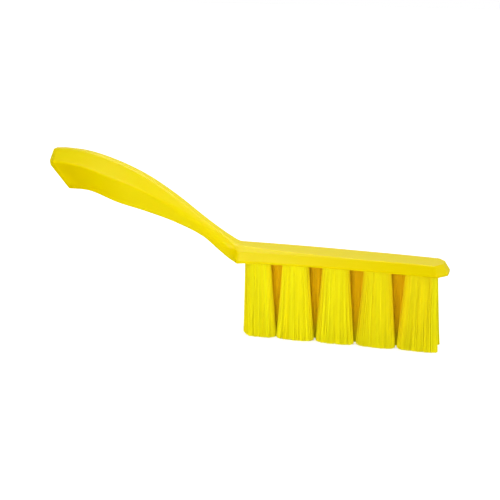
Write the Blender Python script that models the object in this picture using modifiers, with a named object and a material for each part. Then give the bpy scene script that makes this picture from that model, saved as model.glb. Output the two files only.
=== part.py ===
"""Hand brush with a moulded handle-and-block and fourteen bristle bundles set in its underside.

Metres, +Z up. The brush stands on its bristle tips at Z = 0, X runs from the butt of the
handle to the nose of the block, and the brush is the same on both sides of Y = 0.
"""

import math

import bmesh
import bpy

# Overall layout
BLOCK_LENGTH = 0.1674
HANDLE_LENGTH = 0.1624
BRISTLE_LENGTH = 0.0625

# Block, measured across its widest line and down its walls
BLOCK_WIDTH = 0.0346
UPPER_WALL = 0.0070
LOWER_WALL = 0.0015
WALL_DRAFT = 0.0037
LOWER_DRAFT = 0.0006
BLOCK_ARCH = 0.0012
HEEL_DROP = 0.0013
HEEL_LENGTH = 0.012
NOSE_CHAMFER_LENGTH = 0.0054
NOSE_CHAMFER_WIDTH = 0.0064
EDGE_BREAK = 0.0007

# Ridge that carries the top of the handle on along the block
RIDGE_LENGTH = 0.110
RIDGE_RISE = 0.0034
RIDGE_WIDTH = 0.0136

# Handle
HANDLE_RISE = 0.0702
GRIP_DEPTH = 0.0340
GRIP_WIDTH = 0.0270
BUTT_FACE_HEIGHT = 0.0130
BUTT_CUT_RUN = 0.0145
BUTT_LEAN = 0.0015
BUTT_BEVEL_LENGTH = 0.0046
BUTT_BEVEL_WIDTH = 0.0029
BUTT_TOP_BREAK = 0.0002
BUTT_KEEL_ROUND = 0.0070
GRIP_TOP_ROUND = 0.0020
GRIP_CREASE_ROUND = 0.0017
GRIP_KEEL_ROUND = 0.0024
NECK_TOP_ROUND = 0.0032
NECK_CREASE_ROUND = 0.0060
NECK_KEEL_ROUND = 0.0030

# Bristle bundles
UNIT_LENGTH = 0.0223
ROW_MARGIN = 0.0023
ROW_GAP = 0.0016
PLUG_DEPTH = 0.0034
PLUG_RECESS = 0.0004
SEAT_GAP = 0.0003
TIP_SPREAD = 0.0038
TIP_SPREAD_ACROSS = 0.0005
STRAND_GAP = 0.0006
CUTTER_OVERRUN = 0.0020

STRANDS_ALONG = 7
STRANDS_ACROSS = 4

# Where the bundles sit, as shares of the block's length counted from its handle end,
# and the length of each outer bundle as a share of UNIT_LENGTH
OUTER_UNIT_SHARES = (
    (0.0986, 0.942),
    (0.2823, 1.0),
    (0.4776, 1.0),
    (0.6756, 1.005),
    (0.8740, 1.076),
)
MIDDLE_UNIT_SHARE = 1.0
BUNDLE_ROUND_SHARE = 0.85

# Plan of the block: place along its length, half width as a share of half BLOCK_WIDTH
BLOCK_PLAN_SHARES = ((0.0, 0.985), (0.28, 1.0), (0.55, 0.97), (0.95, 0.905))

# Handle rails, butt to block. Columns: place along HANDLE_LENGTH, top as a share of
# HANDLE_RISE, depth as a share of GRIP_DEPTH, drop of the side crease as a share of that
# depth, width at the crease as a share of GRIP_WIDTH, top flat and keel flat as shares of
# the crease width
HANDLE_SHARES = (
    (0.00, 0.995, 0.950, 0.27, 0.93, 0.30, 0.56),
    (0.08, 1.000, 0.980, 0.27, 0.95, 0.30, 0.52),
    (0.20, 0.973, 0.954, 0.325, 0.98, 0.30, 0.40),
    (0.35, 0.877, 1.000, 0.35, 1.00, 0.30, 0.38),
    (0.50, 0.732, 0.871, 0.34, 0.97, 0.31, 0.40),
    (0.65, 0.526, 0.656, 0.325, 0.85, 0.34, 0.43),
    (0.80, 0.277, 0.442, 0.33, 0.70, 0.42, 0.56),
    (0.90, 0.123, 0.475, 0.38, 0.68, 0.48, 0.74),
    (0.95, 0.066, 0.480, 0.40, 0.71, 0.51, 0.82),
    (1.00, 0.000, 0.385, 0.42, 0.75, 0.52, 0.86),
)
KNEE_SHARES = (0.1, 0.6)

# Largest share of the run ahead of and past each corner that its rounding may take,
# from the top edge down to the keel
REACH_SHARES = ((0.45, 0.85), (0.12, 0.12), (0.85, 0.85), (0.12, 0.12), (0.85, 0.45))

# Roundings of the block's corners as shares of EDGE_BREAK, and how far the heel at the
# handle's end comes down as a share of HEEL_DROP
BREAK_SHARES = (1.0, 1.0, 0.5, 0.25, 0.5)
HANDLE_HEEL_SHARE = 0.75

# How the handle flares into the block, the ridge fades and the slant of the butt fades
FLARE_START_SHARE = 0.88
FLARE_POWERS = (2.4, 4.2, 3.0, 3.0, 2.8)
FLARE_CRISP_POWER = 4
NECK_SHARES = (0.50, 0.90)
BUTT_KEEL_SHARE = 0.26
RIDGE_RISE_POWER = 1.8
RIDGE_WIDTH_POWER = 2
CUT_FADE_SHARE = 0.28
CUT_FADE_POWER = 1.5

HANDLE_STEPS = 26
BLOCK_STEPS = 14
CORNER_POINTS = 3
MERGE_DISTANCE = 0.00001

# Derived levels and places
BUTT_X = -(HANDLE_LENGTH + BLOCK_LENGTH) / 2
BLOCK_X = BUTT_X + HANDLE_LENGTH
NOSE_X = BLOCK_X + BLOCK_LENGTH
BLOCK_BASE = BRISTLE_LENGTH
BLOCK_TOP = BLOCK_BASE + LOWER_WALL + UPPER_WALL


def spline(table, column, share):
    """Smooth curve through one column of a table of shares."""
    rows = [(row[0], row[column]) for row in table]
    share = min(max(share, rows[0][0]), rows[-1][0])
    last = len(rows) - 2
    index = next((i for i in range(last) if share < rows[i + 1][0]), last)

    def slope(i):
        low, high = max(i - 1, 0), min(i + 1, last + 1)
        return (rows[high][1] - rows[low][1]) / (rows[high][0] - rows[low][0])

    (x0, y0), (x1, y1) = rows[index], rows[index + 1]
    span = x1 - x0
    t = (share - x0) / span
    start, end = slope(index) * span, slope(index + 1) * span
    return (
        y0 * (1 + 2 * t) * (1 - t) ** 2
        + start * t * (1 - t) ** 2
        + y1 * t * t * (3 - 2 * t)
        - end * t * t * (1 - t)
    )


def mix(a, b, t):
    """Point part of the way from a to b."""
    return tuple(p + (q - p) * t for p, q in zip(a, b))


def block_share(x):
    """Place along the block as a share of its length."""
    return (x - BLOCK_X) / BLOCK_LENGTH


def arch(x):
    """Rise of the slightly arched block at x, zero at its two ends."""
    t = min(max(block_share(x), 0), 1)
    return BLOCK_ARCH * 4 * t * (1 - t)


def heel(x):
    """Drop of the block's lower edge close to either end."""
    at_handle = HANDLE_HEEL_SHARE * max(1 - (x - BLOCK_X) / HEEL_LENGTH, 0)
    at_nose = max(1 - (NOSE_X - x) / HEEL_LENGTH, 0)
    return HEEL_DROP * (at_handle + at_nose)


def half_width(x):
    """Half width of the block at its widest line."""
    return spline(BLOCK_PLAN_SHARES, 1, block_share(x)) * BLOCK_WIDTH / 2


def block_corners(x):
    """Corners of the block's half section: top, shoulder, widest line, low wall and base."""
    lift = arch(x)
    side = half_width(x)
    fade = max(1 - (x - BLOCK_X) / RIDGE_LENGTH, 0)
    wall_top = side - WALL_DRAFT
    top = BLOCK_TOP + lift
    flat = wall_top - EDGE_BREAK
    flat += (RIDGE_WIDTH / 2 - flat) * fade ** RIDGE_WIDTH_POWER
    widest = (side, BLOCK_BASE + LOWER_WALL + lift)
    base = (side - LOWER_DRAFT, BLOCK_BASE + lift - heel(x))
    return [
        (flat, top + RIDGE_RISE * fade ** RIDGE_RISE_POWER),
        (wall_top, top - EDGE_BREAK),
        widest,
        mix(widest, base, 1 / 2),
        base,
    ]


def handle_corners(share, cut):
    """Corners of the handle's half section, each with its x: top, facet, crease, knee, keel.

    cut is how far the foot of the section leans along the slanted cut of the butt.
    """
    def level(s):
        base = block_corners(BLOCK_X)[0][1]
        return base + spline(HANDLE_SHARES, 1, s) * HANDLE_RISE

    foot_share = min(share + cut * BUTT_CUT_RUN / HANDLE_LENGTH, 1)
    side = spline(HANDLE_SHARES, 4, share) * GRIP_WIDTH / 2
    foot_side = spline(HANDLE_SHARES, 4, foot_share) * GRIP_WIDTH / 2
    depth = spline(HANDLE_SHARES, 2, share) * GRIP_DEPTH
    foot_depth = spline(HANDLE_SHARES, 2, foot_share) * GRIP_DEPTH
    x = BUTT_X + share * HANDLE_LENGTH
    foot_x = BUTT_X + foot_share * HANDLE_LENGTH
    top = (x, spline(HANDLE_SHARES, 5, share) * side, level(share))
    crease = (x, side, top[2] - spline(HANDLE_SHARES, 3, share) * depth)
    keel = (foot_x, spline(HANDLE_SHARES, 6, foot_share) * foot_side, level(foot_share) - foot_depth)
    knee_share = (crease[2] - (top[2] - BUTT_FACE_HEIGHT)) / (crease[2] - keel[2])
    knee_share = min(max(knee_share, KNEE_SHARES[0]), KNEE_SHARES[1])
    knee = (x, *mix(crease, keel, knee_share)[1:])
    return [top, mix(top, crease, 1 / 2), crease, knee, keel]


def rounded(corners, setbacks):
    """Half section from the top centre to the foot centre, each corner a short curve."""
    start = (corners[0][0], 0.0, corners[0][2])
    end = (corners[-1][0], 0.0, corners[-1][2])
    chain = [start] + corners + [end]
    points = [start]
    runs = zip(chain, chain[1:], chain[2:], setbacks, REACH_SHARES)
    for before, corner, after, setback, (reach_back, reach_on) in runs:
        back = min(setback / math.dist(before, corner), reach_back)
        on = min(setback / math.dist(corner, after), reach_on)
        first, second = mix(corner, before, back), mix(corner, after, on)
        for i in range(CORNER_POINTS):
            t = i / (CORNER_POINTS - 1)
            points.append(mix(mix(first, corner, t), mix(corner, second, t), t))
    return points + [end]


def handle_rings():
    """Half sections along the handle, from the end face to just before the block."""
    grip = (GRIP_TOP_ROUND, EDGE_BREAK, GRIP_CREASE_ROUND, EDGE_BREAK, GRIP_KEEL_ROUND)
    neck = (NECK_TOP_ROUND, EDGE_BREAK, NECK_CREASE_ROUND, EDGE_BREAK, NECK_KEEL_ROUND)
    sharp = [share * EDGE_BREAK for share in BREAK_SHARES]
    bevel_share = BUTT_BEVEL_LENGTH / HANDLE_LENGTH
    rings = []
    for step in range(HANDLE_STEPS):
        share = bevel_share + (1 - bevel_share) * step / HANDLE_STEPS
        cut = max(1 - share / CUT_FADE_SHARE, 0) ** CUT_FADE_POWER
        corners = handle_corners(share, cut)
        flare = max((share - FLARE_START_SHARE) / (1 - FLARE_START_SHARE), 0)
        goal = [(BLOCK_X, y, z) for y, z in block_corners(BLOCK_X)]
        blend = []
        for corner, target, power in zip(corners, goal, FLARE_POWERS):
            blend.append((corner[0], *mix(corner, target, flare ** power)[1:]))
        to_neck = min(max((share - NECK_SHARES[0]) / (NECK_SHARES[1] - NECK_SHARES[0]), 0), 1)
        *upper, keel_round = mix(grip, neck, to_neck * to_neck * (3 - 2 * to_neck))
        keel_round += (BUTT_KEEL_ROUND - keel_round) * max(1 - share / BUTT_KEEL_SHARE, 0)
        setbacks = mix((*upper, keel_round), sharp, flare ** FLARE_CRISP_POWER)
        rings.append(rounded(blend, setbacks))

    # End face: the section drawn in by the bevel
    top, facet, crease, knee, keel = handle_corners(0, 1)
    inset = [
        (BUTT_X, top[1], top[2] - BUTT_TOP_BREAK),
        (BUTT_X, facet[1] - BUTT_BEVEL_WIDTH / 2, facet[2] - BUTT_TOP_BREAK / 2),
        (BUTT_X, crease[1] - BUTT_BEVEL_WIDTH, crease[2]),
        (BUTT_X, knee[1] - BUTT_BEVEL_WIDTH, knee[2]),
        (keel[0], keel[1] - BUTT_BEVEL_WIDTH / 2, keel[2] + BUTT_TOP_BREAK),
    ]
    end = rounded(inset, [EDGE_BREAK for corner in inset])
    return [flatten_butt(end, top[2], crease[2], knee[2], keel)] + rings


def flatten_butt(ring, top_z, crease_z, knee_z, keel):
    """Put every point of the end ring on one of three faces: leaning, upright and slanted."""
    lean = BUTT_LEAN / (top_z - crease_z)
    run = (keel[0] - BUTT_X) / (knee_z - keel[2])
    flat = []
    for x, y, z in ring:
        flat.append((BUTT_X + max(z - crease_z, 0) * lean + max(knee_z - z, 0) * run, y, z))
    return flat


def block_rings():
    """Half sections along the block, with the two that make the chamfered nose."""
    breaks = [share * EDGE_BREAK for share in BREAK_SHARES]
    chamfer = math.hypot(NOSE_CHAMFER_LENGTH, NOSE_CHAMFER_WIDTH)
    across = NOSE_CHAMFER_WIDTH / chamfer
    along = NOSE_CHAMFER_LENGTH / chamfer
    drafts = (0, 0, WALL_DRAFT, WALL_DRAFT, WALL_DRAFT)
    side_x = NOSE_X - WALL_DRAFT - NOSE_CHAMFER_LENGTH
    rings = []
    for step in range(BLOCK_STEPS):
        x = BLOCK_X + (side_x - BLOCK_X) * step / BLOCK_STEPS
        rings.append(rounded([(x, y, z) for y, z in block_corners(x)], breaks))
    corners = block_corners(side_x)
    shoulder, nose = [], []
    for (y, z), draft in zip(corners, drafts):
        # A drafted level moves out square to each wall, so its corners slide along the walls
        shoulder.append((side_x + draft * (1 - along) / across, y, z))
        nose_y = y - draft - NOSE_CHAMFER_WIDTH + draft * (1 - across) / along
        nose.append((NOSE_X - WALL_DRAFT + draft, nose_y, z))
    rings.append(rounded(shoulder, breaks))
    rings.append(rounded(nose, breaks))
    return rings


def build_moulding(collection):
    """Handle and block in one piece: a loft of half sections, capped and mirrored."""
    rings = handle_rings() + block_rings()
    mesh = bpy.data.meshes.new("handle_block")
    work = bmesh.new()
    grid = [[work.verts.new(point) for point in ring] for ring in rings]
    count = len(grid[0])
    for ring, following in zip(grid, grid[1:]):
        for i in range(count - 1):
            work.faces.new((ring[i], ring[i + 1], following[i + 1], following[i]))
    # Each end is three flat faces, parted at its crease and at its knee
    crease = 1 + 2 * CORNER_POINTS + CORNER_POINTS // 2
    knee = crease + CORNER_POINTS
    for ring in (grid[0], grid[-1]):
        high = work.verts.new((ring[crease].co.x, 0.0, ring[crease].co.z))
        low = work.verts.new((ring[knee].co.x, 0.0, ring[knee].co.z))
        work.faces.new([high] + ring[:crease + 1])
        work.faces.new([low, high] + ring[crease:knee + 1])
        work.faces.new([low] + ring[knee:])
    bmesh.ops.recalc_face_normals(work, faces=work.faces)
    work.to_mesh(mesh)
    work.free()
    body = bpy.data.objects.new("handle_block", mesh)
    collection.objects.link(body)
    mirror = body.modifiers.new("other_side", "MIRROR")
    mirror.use_axis = (False, True, False)
    mirror.use_clip = True
    mirror.merge_threshold = MERGE_DISTANCE
    return body


def bundle_point(u, v, length, depth):
    """Point of a rounded rectangle for u and v from -1 to 1."""
    x = u * math.sqrt(1 - BUNDLE_ROUND_SHARE * v * v / 2)
    y = v * math.sqrt(1 - BUNDLE_ROUND_SHARE * u * u / 2)
    return x * length / 2, y * depth / 2


def bundle_places():
    """Name, centre, length and depth of every bristle bundle."""
    places = []

    def row(label, centres, side):
        for number, (x, length) in enumerate(centres, 1):
            far_end = x + length / 2
            reach = half_width(far_end) - LOWER_DRAFT - ROW_MARGIN
            depth = (2 * reach - 2 * ROW_GAP) / 3
            y = side * (depth + ROW_GAP)
            places.append((f"{label}_bristles_{number}", x, y, length, depth))

    outer = [(BLOCK_X + s * BLOCK_LENGTH, w * UNIT_LENGTH) for s, w in OUTER_UNIT_SHARES]
    middle = []
    for (x, length), (next_x, next_length) in zip(outer, outer[1:]):
        between = (x + length / 2 + next_x - next_length / 2) / 2
        middle.append((between, MIDDLE_UNIT_SHARE * UNIT_LENGTH))
    row("front", outer, -1)
    row("middle", middle, 0)
    row("back", outer, 1)
    return places


def build_bundle(collection, name, x, y, length, depth):
    """Root plug with its strands, fused to it and cut flat at the tips."""
    root = BLOCK_BASE + arch(x) + PLUG_RECESS
    mesh = bpy.data.meshes.new(name)
    work = bmesh.new()
    bmesh.ops.create_grid(work, x_segments=STRANDS_ALONG, y_segments=STRANDS_ACROSS, size=1)
    for vert in work.verts:
        vert.co.x, vert.co.y = bundle_point(vert.co.x, vert.co.y, length, depth)
    bmesh.ops.reverse_faces(work, faces=work.faces)
    cells = list(work.faces)

    # The plug: the grid is its lower face and the outline runs up to its top
    rim = [edge for edge in work.edges if edge.is_boundary]
    walls = bmesh.ops.extrude_edge_only(work, edges=rim)["geom"]
    upper = [item for item in walls if isinstance(item, bmesh.types.BMVert)]
    bmesh.ops.translate(work, verts=upper, vec=(0, 0, PLUG_DEPTH))
    top_rim = [item for item in walls if isinstance(item, bmesh.types.BMEdge) and item.is_boundary]
    bmesh.ops.contextual_create(work, geom=top_rim)

    # The strands: each cell drawn in by half the gap between strands, then drawn down
    bmesh.ops.inset_individual(work, faces=cells, thickness=STRAND_GAP / 2, use_even_offset=True)
    tips = bmesh.ops.extrude_discrete_faces(work, faces=cells)["faces"]
    spread_x = 1 + 2 * TIP_SPREAD / length
    spread_y = 1 + 2 * TIP_SPREAD_ACROSS / depth
    for face in tips:
        bmesh.ops.scale(work, verts=face.verts, vec=(spread_x, spread_y, 1))
        bmesh.ops.translate(work, verts=face.verts, vec=(0, 0, -root))
    bmesh.ops.recalc_face_normals(work, faces=work.faces)
    work.to_mesh(mesh)
    work.free()
    bundle = bpy.data.objects.new(name, mesh)
    bundle.location = (x, y, root)
    collection.objects.link(bundle)
    return bundle


def build_socket_cutter(collection, name, x, y, length, depth):
    """Pocket of one bundle: the outline of its plug grown by the seat gap."""
    root = BLOCK_BASE + arch(x) + PLUG_RECESS
    mesh = bpy.data.meshes.new(name)
    work = bmesh.new()
    bmesh.ops.create_grid(work, x_segments=STRANDS_ALONG, y_segments=STRANDS_ACROSS, size=1)
    grown = (length + 2 * SEAT_GAP, depth + 2 * SEAT_GAP)
    for vert in work.verts:
        vert.co.x, vert.co.y = bundle_point(vert.co.x, vert.co.y, *grown)
    inner = [vert for vert in work.verts if not vert.is_boundary]
    bmesh.ops.dissolve_verts(work, verts=inner)
    walls = bmesh.ops.extrude_face_region(work, geom=work.faces[:])["geom"]
    raised = [item for item in walls if isinstance(item, bmesh.types.BMVert)]
    reach = PLUG_DEPTH + SEAT_GAP + CUTTER_OVERRUN
    bmesh.ops.translate(work, verts=raised, vec=(0, 0, reach))
    bmesh.ops.recalc_face_normals(work, faces=work.faces)
    work.to_mesh(mesh)
    work.free()
    cutter = bpy.data.objects.new(name, mesh)
    cutter.location = (x, y, root - CUTTER_OVERRUN)
    cutter.hide_render = True
    cutter.display_type = "WIRE"
    collection.objects.link(cutter)
    return cutter


def plastic(name, colour, roughness):
    """Principled material of one moulded or drawn plastic."""
    material = bpy.data.materials.new(name)
    material.use_nodes = True
    shader = material.node_tree.nodes["Principled BSDF"]
    shader.inputs["Base Color"].default_value = (*colour, 1)
    shader.inputs["Roughness"].default_value = roughness
    shader.inputs["Metallic"].default_value = 0
    return material


def main():
    """Clear the scene and build the brush."""
    for item in list(bpy.data.objects):
        bpy.data.objects.remove(item, do_unlink=True)
    scene = bpy.context.scene
    brush = bpy.data.collections.new("hand_brush")
    cutters = bpy.data.collections.new("socket_cutters")
    scene.collection.children.link(brush)
    scene.collection.children.link(cutters)

    body = build_moulding(brush)
    body.data.materials.append(plastic("moulded_yellow", (0.86, 0.70, 0.0), 0.38))
    for name, x, y, length, depth in bundle_places():
        bundle = build_bundle(brush, name, x, y, length, depth)
        bundle.data.materials.append(plastic(f"{name}_yellow", (0.80, 0.68, 0.0), 0.5))
        cutter = build_socket_cutter(cutters, f"{name}_socket", x, y, length, depth)
        cut = body.modifiers.new(f"{name}_socket", "BOOLEAN")
        cut.operation = "DIFFERENCE"
        cut.solver = "EXACT"
        cut.object = cutter


main()
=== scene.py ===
"""Hand brush: one faceted plastic moulding with bundles of stiff filaments in its underside.

Metres, +Z up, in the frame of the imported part: +X runs from the butt of the handle to the
nose of the block, and the bristle tips stand on Z = 0.
"""

import logging
import math
from dataclasses import dataclass, field
from enum import Enum, IntEnum

import bpy
import numpy as np
from mathutils import Matrix, Vector


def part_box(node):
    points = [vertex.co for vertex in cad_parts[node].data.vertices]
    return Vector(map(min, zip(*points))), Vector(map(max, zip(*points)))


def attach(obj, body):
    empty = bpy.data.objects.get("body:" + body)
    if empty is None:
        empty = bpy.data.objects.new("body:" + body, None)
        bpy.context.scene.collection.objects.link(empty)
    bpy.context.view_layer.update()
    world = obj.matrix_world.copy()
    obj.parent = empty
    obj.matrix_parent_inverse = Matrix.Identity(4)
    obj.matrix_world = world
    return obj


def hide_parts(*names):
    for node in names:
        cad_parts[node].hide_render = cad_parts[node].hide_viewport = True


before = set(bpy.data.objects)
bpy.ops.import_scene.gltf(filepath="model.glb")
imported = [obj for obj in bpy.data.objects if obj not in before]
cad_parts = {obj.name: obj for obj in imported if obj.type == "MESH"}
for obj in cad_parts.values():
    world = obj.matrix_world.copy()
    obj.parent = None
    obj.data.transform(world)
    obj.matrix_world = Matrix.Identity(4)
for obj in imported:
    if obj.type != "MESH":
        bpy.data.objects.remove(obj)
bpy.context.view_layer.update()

LOG = logging.getLogger("hand_brush")
BODY = "root"
MM = 0.001
TINY = 1e-9
WHITE = (1.0, 1.0, 1.0, 1.0)

# Largest share of a straight run that a fillet at its end may take
FILLET_SHARE = 0.45

# Colour sockets of Blender's Mix node
MIX_SHARE, MIX_FIRST, MIX_SECOND, MIX_RESULT = 0, 6, 7, 2

Array = np.ndarray
Pair = tuple[float, float]
Place = tuple[float, float, float]
Colour = tuple[float, float, float]


# Node and mesh helpers


@dataclass(frozen=True)
class Noise:
    """A noise pattern: how often it repeats in a metre, along X, Y and Z if given for each."""

    repeats: float | Place
    detail: float
    roughness: float


class NodeSheet:
    """A material's or world's node tree, with short calls for adding and joining nodes."""

    def __init__(self, tree: bpy.types.NodeTree) -> None:
        """Keep the tree to work on.

        Args:
            tree: node tree of a material or a world.
        """
        self.tree = tree

    def add(self, kind: str, **values: object) -> bpy.types.Node:
        """Add a node and set its attributes and inputs.

        Args:
            kind: Blender's node type name.
            values: attribute names, or input names with spaces written as underscores.

        Returns:
            The new node.
        """
        node = self.tree.nodes.new(kind)
        for key, value in values.items():
            socket = node.inputs.get(key.replace("_", " "))
            if socket is not None and not hasattr(node, key):
                socket.default_value = value
            else:
                setattr(node, key, value)
        return node

    def join(self, source: bpy.types.NodeSocket, target: bpy.types.NodeSocket) -> None:
        """Link an output to an input.

        Args:
            source: output socket.
            target: input socket.
        """
        self.tree.links.new(source, target)

    def blend(self, share: bpy.types.NodeSocket, first: bpy.types.NodeSocket | Colour,
              second: Colour) -> bpy.types.NodeSocket:
        """Mix two colours.

        Args:
            share: socket with how much of the second colour shows, which may be over 1.
            first: socket or colour.
            second: colour.

        Returns:
            The mixed colour's socket.
        """
        node = self.tree.nodes.new("ShaderNodeMix")
        node.data_type = "RGBA"
        node.clamp_factor = False
        for index, value in ((MIX_SHARE, share), (MIX_FIRST, first), (MIX_SECOND, second)):
            if isinstance(value, bpy.types.NodeSocket):
                self.join(value, node.inputs[index])
            else:
                node.inputs[index].default_value = (*value, 1.0)
        return node.outputs[MIX_RESULT]

    def spread(self, value: bpy.types.NodeSocket, low: float, high: float,
               start: float = 0.3, end: float = 0.7) -> bpy.types.NodeSocket:
        """Map a noise or tone to a range.

        Args:
            value: socket with the noise or tone.
            low: result at and under start.
            high: result at and over end.
            start: value where the range starts.
            end: value where the range ends.

        Returns:
            The mapped value's socket.
        """
        node = self.add("ShaderNodeMapRange", From_Min=start, From_Max=end, To_Min=low, To_Max=high)
        self.join(value, node.inputs["Value"])
        return node.outputs["Result"]

    def noise(self, place: bpy.types.NodeSocket, pattern: Noise) -> bpy.types.NodeSocket:
        """Add a noise pattern.

        Args:
            place: socket with the position.
            pattern: the pattern.

        Returns:
            The noise value's socket.
        """
        repeats = pattern.repeats
        if isinstance(repeats, tuple):
            stretched = self.add("ShaderNodeMapping", Scale=repeats)
            self.join(place, stretched.inputs["Vector"])
            place, repeats = stretched.outputs["Vector"], 1.0
        node = self.add("ShaderNodeTexNoise", Scale=repeats, Detail=pattern.detail,
                        Roughness=pattern.roughness)
        self.join(place, node.inputs["Vector"])
        return node.outputs["Fac"]

    def tone(self, name: str) -> bpy.types.NodeSocket:
        """Read a tone that a mesh keeps for each point.

        Args:
            name: the tone's name.

        Returns:
            The tone's socket.
        """
        return self.add("ShaderNodeAttribute", attribute_name=name).outputs["Fac"]

    def relief(self, height: bpy.types.NodeSocket, strength: float, depth: float,
               under: bpy.types.NodeSocket | None = None) -> bpy.types.NodeSocket:
        """Add a fine relief to the surface's normal.

        Args:
            height: socket with the relief's height.
            strength: how much of the relief shows.
            depth: its depth in metres.
            under: socket of a relief that this one lies on.

        Returns:
            The normal's socket.
        """
        node = self.add("ShaderNodeBump", Strength=strength, Distance=depth)
        self.join(height, node.inputs["Height"])
        if under is not None:
            self.join(under, node.inputs["Normal"])
        return node.outputs["Normal"]

    def choose(self, share: bpy.types.NodeSocket, first: bpy.types.Node,
               second: bpy.types.Node) -> bpy.types.Node:
        """Show one shader or another.

        Args:
            share: socket with 0 for the first shader and 1 for the second.
            first: node of the first shader.
            second: node of the second shader.

        Returns:
            The node that shows them.
        """
        node = self.add("ShaderNodeMixShader")
        for index, source in enumerate((share, first.outputs[0], second.outputs[0])):
            self.join(source, node.inputs[index])
        return node


def new_material(name: str) -> tuple[bpy.types.Material, NodeSheet, bpy.types.Node]:
    """Start a material.

    Args:
        name: the material's name.

    Returns:
        The material, its node tree and its main shader.
    """
    material = bpy.data.materials.new(name)
    material.use_nodes = True
    return material, NodeSheet(material.node_tree), material.node_tree.nodes["Principled BSDF"]


def values(*rows: float | tuple[float, ...], unit: float = 1.0) -> Array:
    """Give a dataclass field an array as its default.

    Args:
        rows: the array's numbers or rows.
        unit: what each number is multiplied by.

    Returns:
        The field, which makes the array anew for each object.
    """
    return field(default_factory=lambda: np.array(rows) * unit)


def link_object(name: str, data: bpy.types.ID) -> bpy.types.Object:
    """Put a mesh, lamp or camera in the scene.

    Args:
        name: the object's name.
        data: the mesh, lamp or camera.

    Returns:
        The new object.
    """
    thing = bpy.data.objects.new(name, data)
    bpy.context.scene.collection.objects.link(thing)
    return thing


def soften(mesh: bpy.types.Mesh, degrees: float) -> None:
    """Shade a mesh smooth, with a crisp line wherever two faces meet at a larger angle.

    Args:
        mesh: the mesh.
        degrees: largest angle that is still shaded smooth.
    """
    mesh.shade_smooth()
    mesh.set_sharp_from_angle(angle=math.radians(degrees))


def keep_tone(mesh: bpy.types.Mesh, name: str, tones: Array) -> None:
    """Keep a tone for each point of a mesh, for its material to read.

    Args:
        mesh: the mesh.
        name: the tone's name.
        tones: one value for each point.
    """
    layer = mesh.attributes.new(name, "FLOAT", "POINT")
    layer.data.foreach_set("value", tones.astype(np.float32))


def ramp(values: Array, span: Pair, most: float = 1.0) -> Array:
    """Rise evenly from 0 where a span starts to 1 where it ends, which may be at a lower value.

    Args:
        values: values to map.
        span: the values that give 0 and 1.
        most: largest result, over 1 where the rise goes on past the span.

    Returns:
        The mapped values.
    """
    start, end = span
    return ((values - start) / (end - start)).clip(0, most)


def fade(distance: float, reach: float) -> float:
    """Fall evenly from 1 at no distance to 0 at the reach and past it.

    Args:
        distance: how far away.
        reach: where the fall ends.

    Returns:
        The share that is left.
    """
    return max(1 - distance / reach, 0)


def eased(share: float | Array) -> float | Array:
    """Give a rise from 0 to 1 a gentle start and end.

    Args:
        share: the even rise.

    Returns:
        The gentle rise.
    """
    return share * share * (3 - 2 * share)


def spline(table: Array, column: int, share: float) -> float:
    """Smooth curve through one column of a table of shares.

    Args:
        table: rows of shares, the first column rising from row to row.
        column: column to read.
        share: place along the first column.

    Returns:
        The column's value there.
    """
    xs, ys = table[:, 0], table[:, column]
    share = min(max(share, xs[0]), xs[-1])
    i = min(int(np.searchsorted(xs, share, side="right")) - 1, len(xs) - 2)

    def slope(k: int) -> float:
        """Slope at row k, from the rows around it."""
        low, high = max(k - 1, 0), min(k + 1, len(xs) - 1)
        return (ys[high] - ys[low]) / (xs[high] - xs[low])

    span = xs[i + 1] - xs[i]
    t = (share - xs[i]) / span
    start, end = slope(i) * span, slope(i + 1) * span
    return float(
        ys[i] * (1 + 2 * t) * (1 - t) ** 2
        + start * t * (1 - t) ** 2
        + ys[i + 1] * t * t * (3 - 2 * t)
        - end * t * t * (1 - t)
    )


def bend(first: Array, corner: Array, last: Array, steps: int) -> list[Array]:
    """Curve between two points or rings, drawn towards a corner.

    Args:
        first: point or ring where the curve starts.
        corner: the corner.
        last: point or ring where the curve ends.
        steps: how many points or rings the curve has.

    Returns:
        The curve's points or rings.
    """
    return [
        (first * (1 - t) + corner * t) * (1 - t) + (corner * (1 - t) + last * t) * t
        for t in np.linspace(0, 1, steps)
    ]


def fillet(before: Array, corner: Array, after: Array, setback: float, steps: int) -> list[Array]:
    """Short curve that replaces a corner between two straight runs.

    Args:
        before: point or ring ahead of the corner.
        corner: the corner.
        after: point or ring past the corner.
        setback: how far from the corner the curve starts, measured along the runs.
        steps: how many points or rings the curve has.

    Returns:
        The curve's points or rings.
    """
    back = min(setback / max(np.abs(before - corner).max(), TINY), FILLET_SHARE)
    on = min(setback / max(np.abs(after - corner).max(), TINY), FILLET_SHARE)
    return bend(corner + (before - corner) * back, corner, corner + (after - corner) * on, steps)


# Finishes


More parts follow.
